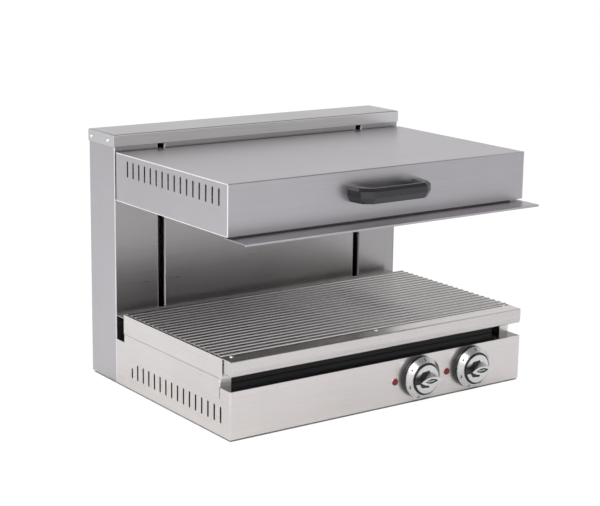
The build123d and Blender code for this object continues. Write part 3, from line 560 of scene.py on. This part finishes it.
def make_ropes(name, rope, body, cad_node):
    """The two ropes from the pulleys down to a body, with the ferrules that end them."""
    shape = bmesh.new()
    ferrules = bmesh.new()
    for side in (-1, 1):
        top = Vector((side * rope["x"], CABLE_Y, PULLEY_Z))
        low = Vector((side * rope["x"], CABLE_Y, rope["low"]))
        twist(shape, line(low, top))
        bmesh.ops.create_cone(
            ferrules, cap_ends=True, segments=32, radius1=FERRULE_RADIUS, radius2=FERRULE_RADIUS,
            depth=FERRULE_LENGTH, matrix=Matrix.Translation(low + Vector((0, 0, FERRULE_LENGTH / 2))),
        )
    ropes = place_piece(name, finish_mesh(name, shape), "rope")
    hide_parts(cad_node)
    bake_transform(ropes)
    ends = place_piece(f"{name}_ferrules", finish_mesh(f"{name}_ferrules", ferrules, False), "aluminium")
    soften(ends, FERRULE_ROUND)
    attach(ends, body)


def make_rope_bends():
    """The ropes where they lie in the pulleys' grooves."""
    shape = bmesh.new()
    for side in (-1, 1):
        twist(shape, half_turn(Vector((side * PULLEY_X, CABLE_Y, PULLEY_Z)), CABLE_BEND))
    bends = place_piece("rope_bends", finish_mesh("rope_bends", shape), "rope")
    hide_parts("cable_wraps")
    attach(bends, "root")


def make_blanket():
    """The wool blanket over the reflector: soft edges and an uneven top."""
    low, high = (Vector(corner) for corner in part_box("insulation"))
    middle = (low + high) / 2
    reach = (high - low) / 2
    shape = bmesh.new()
    bmesh.ops.create_cube(shape, size=2)
    bmesh.ops.subdivide_edges(shape, edges=shape.edges, cuts=BLANKET_CUTS, use_grid_fill=True)
    for vert in shape.verts:
        ends = max(abs(vert.co.x), abs(vert.co.y))
        into_rim = max(0, (ends - 1 + BLANKET_RIM) / BLANKET_RIM)
        swell = math.sqrt(1 - into_rim**2) if ends < 1 else 0
        spot = Vector((vert.co.x * BLANKET_WAVES[0], vert.co.y * BLANKET_WAVES[1], 0))
        wave = 0.5 + 0.5 * noise.noise(spot)
        lift = vert.co.z * (BLANKET_EDGE + BLANKET_SWELL * swell + BLANKET_RIPPLE * wave * swell)
        if vert.co.z < 0:
            lift = max(-1, vert.co.z)
        vert.co = middle + Vector((vert.co.x * reach.x, vert.co.y * reach.y, lift * reach.z))
    blanket = place_piece("blanket", finish_mesh("blanket", shape), "wool")
    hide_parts("insulation")
    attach(blanket, "hood")


def ring_point(dial_x, degrees):
    """A place half way across a dial's sloping ring, and the way that the ring faces there."""
    angle = math.radians(degrees)
    outward = Vector((math.cos(angle), 0, math.sin(angle)))
    forward = Vector((0, -1, 0))
    radius = (RING_INNER + RING_OUTER) / 2
    place = Vector((dial_x, FASCIA_Y, DIAL_Z)) + radius * outward
    place += (RING_FRONT - RING_SLOPE / 2) * forward
    facing = (RING_SLOPE * outward + (RING_OUTER - RING_INNER) * forward).normalized()
    return place, facing


def make_dial_marks(name, dial_x):
    """The numerals printed on a dial's ring."""
    marks = bmesh.new()
    upright = Matrix.Rotation(math.radians(90), 4, "X")
    for numeral, degrees in NUMERALS.items():
        words = bpy.data.curves.new(f"numeral_{numeral}", "FONT")
        words.body = numeral
        words.size = NUMERAL_SIZE
        words.align_x = "CENTER"
        words.align_y = "CENTER"
        words.extrude = NUMERAL_RELIEF
        words.offset = NUMERAL_WEIGHT
        holder = bpy.data.objects.new(f"numeral_{numeral}", words)
        flat = bpy.data.meshes.new_from_object(holder)
        place, facing = ring_point(dial_x, degrees)
        tilt = Vector((0, -1, 0)).rotation_difference(facing).to_matrix().to_4x4()
        flat.transform(Matrix.Translation(place) @ tilt @ upright)
        marks.from_mesh(flat)
        bpy.data.objects.remove(holder)
        bpy.data.meshes.remove(flat)
        bpy.data.curves.remove(words)
    piece = place_piece(f"dial_marks_{name}", finish_mesh(f"dial_marks_{name}", marks, False), "ink")
    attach(piece, "root")


def make_pointer(name, dial_x):
    """The pale line set into the black core of a knob's grip."""
    shape = bmesh.new()
    bmesh.ops.create_cube(shape, size=1)
    start, end = POINTER_SPAN
    for vert in shape.verts:
        vert.co.x = dial_x + (start + end) / 2 + vert.co.x * (end - start)
        vert.co.y = FASCIA_Y - CORE_FRONT + vert.co.y * POINTER_DEPTH
        vert.co.z = DIAL_Z + vert.co.z * 2 * POINTER_HALF
    piece = place_piece(f"pointer_{name}", finish_mesh(f"pointer_{name}", shape, False), "pale_mark")
    soften(piece, POINTER_ROUND)
    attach(piece, f"knob_{name}")


def make_bezels():
    """A thin bright ring round the foot of each lamp."""
    shape = bmesh.new()
    around, across = 48, 8
    for dial_x in DIAL_XS.values():
        rings = []
        for index in range(around):
            angle = math.tau * index / around
            outward = Vector((math.cos(angle), 0, math.sin(angle)))
            middle = Vector((dial_x - LAMP_OFFSET, FASCIA_Y, LAMP_Z)) + BEZEL_RADIUS * outward
            ring = []
            for step in range(across):
                turn = math.tau * step / across
                edge = math.cos(turn) * outward + math.sin(turn) * Vector((0, 1, 0))
                ring.append(shape.verts.new(middle + BEZEL_WIRE * edge))
            rings.append(ring)
        for first, second in zip(rings, rings[1:] + rings[:1]):
            for step in range(across):
                following = (step + 1) % across
                shape.faces.new((first[step], first[following], second[following], second[step]))
    bmesh.ops.recalc_face_normals(shape, faces=shape.faces)
    bezels = place_piece("lamp_bezels", finish_mesh("lamp_bezels", shape), "aluminium")
    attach(bezels, "root")


def make_edge_highlights(name, body, boxes):
    """Thin bars of painted highlight along edges on both sides of the appliance."""
    shape = bmesh.new()
    for low, high in boxes:
        for side in (-1, 1):
            size = Vector(high) - Vector(low)
            middle = (Vector(high) + Vector(low)) / 2
            middle.x *= side
            bmesh.ops.create_cube(
                shape, size=1, matrix=Matrix.Translation(middle) @ Matrix.Diagonal((*size, 1)),
            )
    piece = place_piece(name, finish_mesh(name, shape, False), "painted_edge_highlight")
    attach(piece, body)


make_ropes("hood_ropes", HOOD_ROPE, "hood", "hood_cables")
make_ropes("weight_ropes", WEIGHT_ROPE, "counterweight", "weight_cables")
make_rope_bends()
make_blanket()
for side_name, middle_x in DIAL_XS.items():
    make_dial_marks(side_name, middle_x)
    make_pointer(side_name, middle_x)
make_bezels()
make_edge_highlights("hood_edge_highlights", "hood", HOOD_HIGHLIGHT_BOXES)
make_edge_highlights("column_edge_highlights", "root", COLUMN_HIGHLIGHT_BOXES)


# ---- floor, light and camera --------------------------------------------------------------


def make_camera():
    """The camera, where the photograph was taken from."""
    back = Vector((
        math.sin(CAMERA_AZIMUTH) * math.cos(CAMERA_ELEVATION),
        -math.cos(CAMERA_AZIMUTH) * math.cos(CAMERA_ELEVATION),
        math.sin(CAMERA_ELEVATION),
    ))
    level = (-back).cross(Vector((0, 0, 1))).normalized()
    upright = level.cross(-back)
    across = math.cos(CAMERA_ROLL) * level + math.sin(CAMERA_ROLL) * upright
    upward = math.cos(CAMERA_ROLL) * upright - math.sin(CAMERA_ROLL) * level
    turn = Matrix((across, upward, back)).transposed().to_4x4()
    camera = bpy.data.objects.new("camera", bpy.data.cameras.new("camera"))
    camera.data.lens = CAMERA_LENS
    camera.data.sensor_width = SENSOR_WIDTH
    camera.data.sensor_fit = "HORIZONTAL"
    camera.data.clip_end = CLIP_END
    camera.matrix_world = Matrix.Translation(CAMERA_TARGET + back * CAMERA_DISTANCE) @ turn
    bpy.context.scene.collection.objects.link(camera)
    bpy.context.scene.camera = camera


def make_light(name, place, target, size, power):
    """A soft box that shines at a point."""
    light = bpy.data.lights.new(name, "AREA")
    light.shape = "RECTANGLE"
    light.size, light.size_y = size
    light.energy = power
    lamp = bpy.data.objects.new(name, light)
    lamp.location = place
    lamp.rotation_euler = (Vector(target) - Vector(place)).to_track_quat("-Z", "Y").to_euler()
    bpy.context.scene.collection.objects.link(lamp)


def make_world():
    """An even pale room. The camera and reflections see it white, with a darker ceiling."""
    world = bpy.data.worlds.new("room")
    bpy.context.scene.world = world
    world.use_nodes = True
    tree = world.node_tree
    tree.nodes.clear()
    rays = tree.nodes.new("ShaderNodeLightPath")
    straight = tree.nodes.new("ShaderNodeMath")
    straight.operation = "MAXIMUM"
    tree.links.new(rays.outputs["Is Camera Ray"], straight.inputs[0])
    tree.links.new(rays.outputs["Is Transmission Ray"], straight.inputs[1])
    sees_white = tree.nodes.new("ShaderNodeMath")
    sees_white.operation = "MAXIMUM"
    tree.links.new(straight.outputs[0], sees_white.inputs[0])
    tree.links.new(rays.outputs["Is Glossy Ray"], sees_white.inputs[1])
    room = tree.nodes.new("ShaderNodeBackground")
    room.inputs["Color"].default_value = (*ROOM_COLOUR, 1)
    room.inputs["Strength"].default_value = ROOM_STRENGTH
    where = tree.nodes.new("ShaderNodeTexCoord")
    apart = tree.nodes.new("ShaderNodeSeparateXYZ")
    tree.links.new(where.outputs["Generated"], apart.inputs[0])
    ceiling = tree.nodes.new("ShaderNodeMapRange")
    ceiling.inputs["From Min"].default_value = CEILING_START
    ceiling.inputs["From Max"].default_value = CEILING_END
    ceiling.inputs["To Min"].default_value = 1.0
    ceiling.inputs["To Max"].default_value = CEILING_STRENGTH
    tree.links.new(apart.outputs["Z"], ceiling.inputs["Value"])
    seen = tree.nodes.new("ShaderNodeBackground")
    seen.inputs["Color"].default_value = (1, 1, 1, 1)
    tree.links.new(ceiling.outputs["Result"], seen.inputs["Strength"])
    mix = tree.nodes.new("ShaderNodeMixShader")
    tree.links.new(sees_white.outputs[0], mix.inputs[0])
    tree.links.new(room.outputs[0], mix.inputs[1])
    tree.links.new(seen.outputs[0], mix.inputs[2])
    out = tree.nodes.new("ShaderNodeOutputWorld")
    tree.links.new(mix.outputs[0], out.inputs["Surface"])


def floor_material(name, tone, glow_share=0):
    """A matt floor that can't be seen from below, of which the camera sees a share as a plain glow."""
    material = bpy.data.materials.new(name)
    material.use_nodes = True
    tree = material.node_tree
    shader = tree.nodes["Principled BSDF"]
    shader.inputs["Base Color"].default_value = (tone, tone, tone, 1)
    shader.inputs["Roughness"].default_value = FLOOR_ROUGHNESS
    surface = shader.outputs[0]
    if glow_share:
        rays = tree.nodes.new("ShaderNodeLightPath")
        share = tree.nodes.new("ShaderNodeMath")
        share.operation = "MULTIPLY"
        share.inputs[1].default_value = glow_share
        tree.links.new(rays.outputs["Is Camera Ray"], share.inputs[0])
        glow = tree.nodes.new("ShaderNodeEmission")
        glow.inputs["Strength"].default_value = FLOOR_GLOW
        mix = tree.nodes.new("ShaderNodeMixShader")
        tree.links.new(share.outputs[0], mix.inputs[0])
        tree.links.new(shader.outputs[0], mix.inputs[1])
        tree.links.new(glow.outputs[0], mix.inputs[2])
        surface = mix.outputs[0]
    faces = tree.nodes.new("ShaderNodeNewGeometry")
    clear = tree.nodes.new("ShaderNodeBsdfTransparent")
    hide = tree.nodes.new("ShaderNodeMixShader")
    tree.links.new(faces.outputs["Backfacing"], hide.inputs[0])
    tree.links.new(surface, hide.inputs[1])
    tree.links.new(clear.outputs[0], hide.inputs[2])
    tree.links.new(hide.outputs[0], tree.nodes["Material Output"].inputs["Surface"])
    return material


def make_sheet(name, left, front, right, back, height, material):
    """A level rectangle of the stage."""
    mesh = bpy.data.meshes.new(name)
    corners = [(left, front, height), (right, front, height), (right, back, height), (left, back, height)]
    mesh.from_pydata(corners, [], [(0, 1, 2, 3)])
    mesh.materials.append(material)
    sheet = bpy.data.objects.new(name, mesh)
    bpy.context.scene.collection.objects.link(sheet)


def make_floor():
    """A wide white floor that keeps a soft shadow, and a darker patch under the base: painted shadow."""
    wide = floor_material("floor", FLOOR_TONE, FLOOR_GLOW_SHARE)
    make_sheet("floor", -FLOOR_REACH, -FLOOR_REACH, FLOOR_REACH, FLOOR_REACH, 0, wide)
    # painted shadow under the base
    shaded = floor_material("painted_shadow_floor", PAINTED_SHADOW_TONE)
    make_sheet("painted_shadow_under_the_base", *FOOTPRINT, PATCH_LIFT, shaded)


make_camera()
make_world()
make_floor()
for light_name, setting in LIGHTS.items():
    make_light(light_name, *setting)

bpy.context.scene.view_settings.view_transform = "Standard"
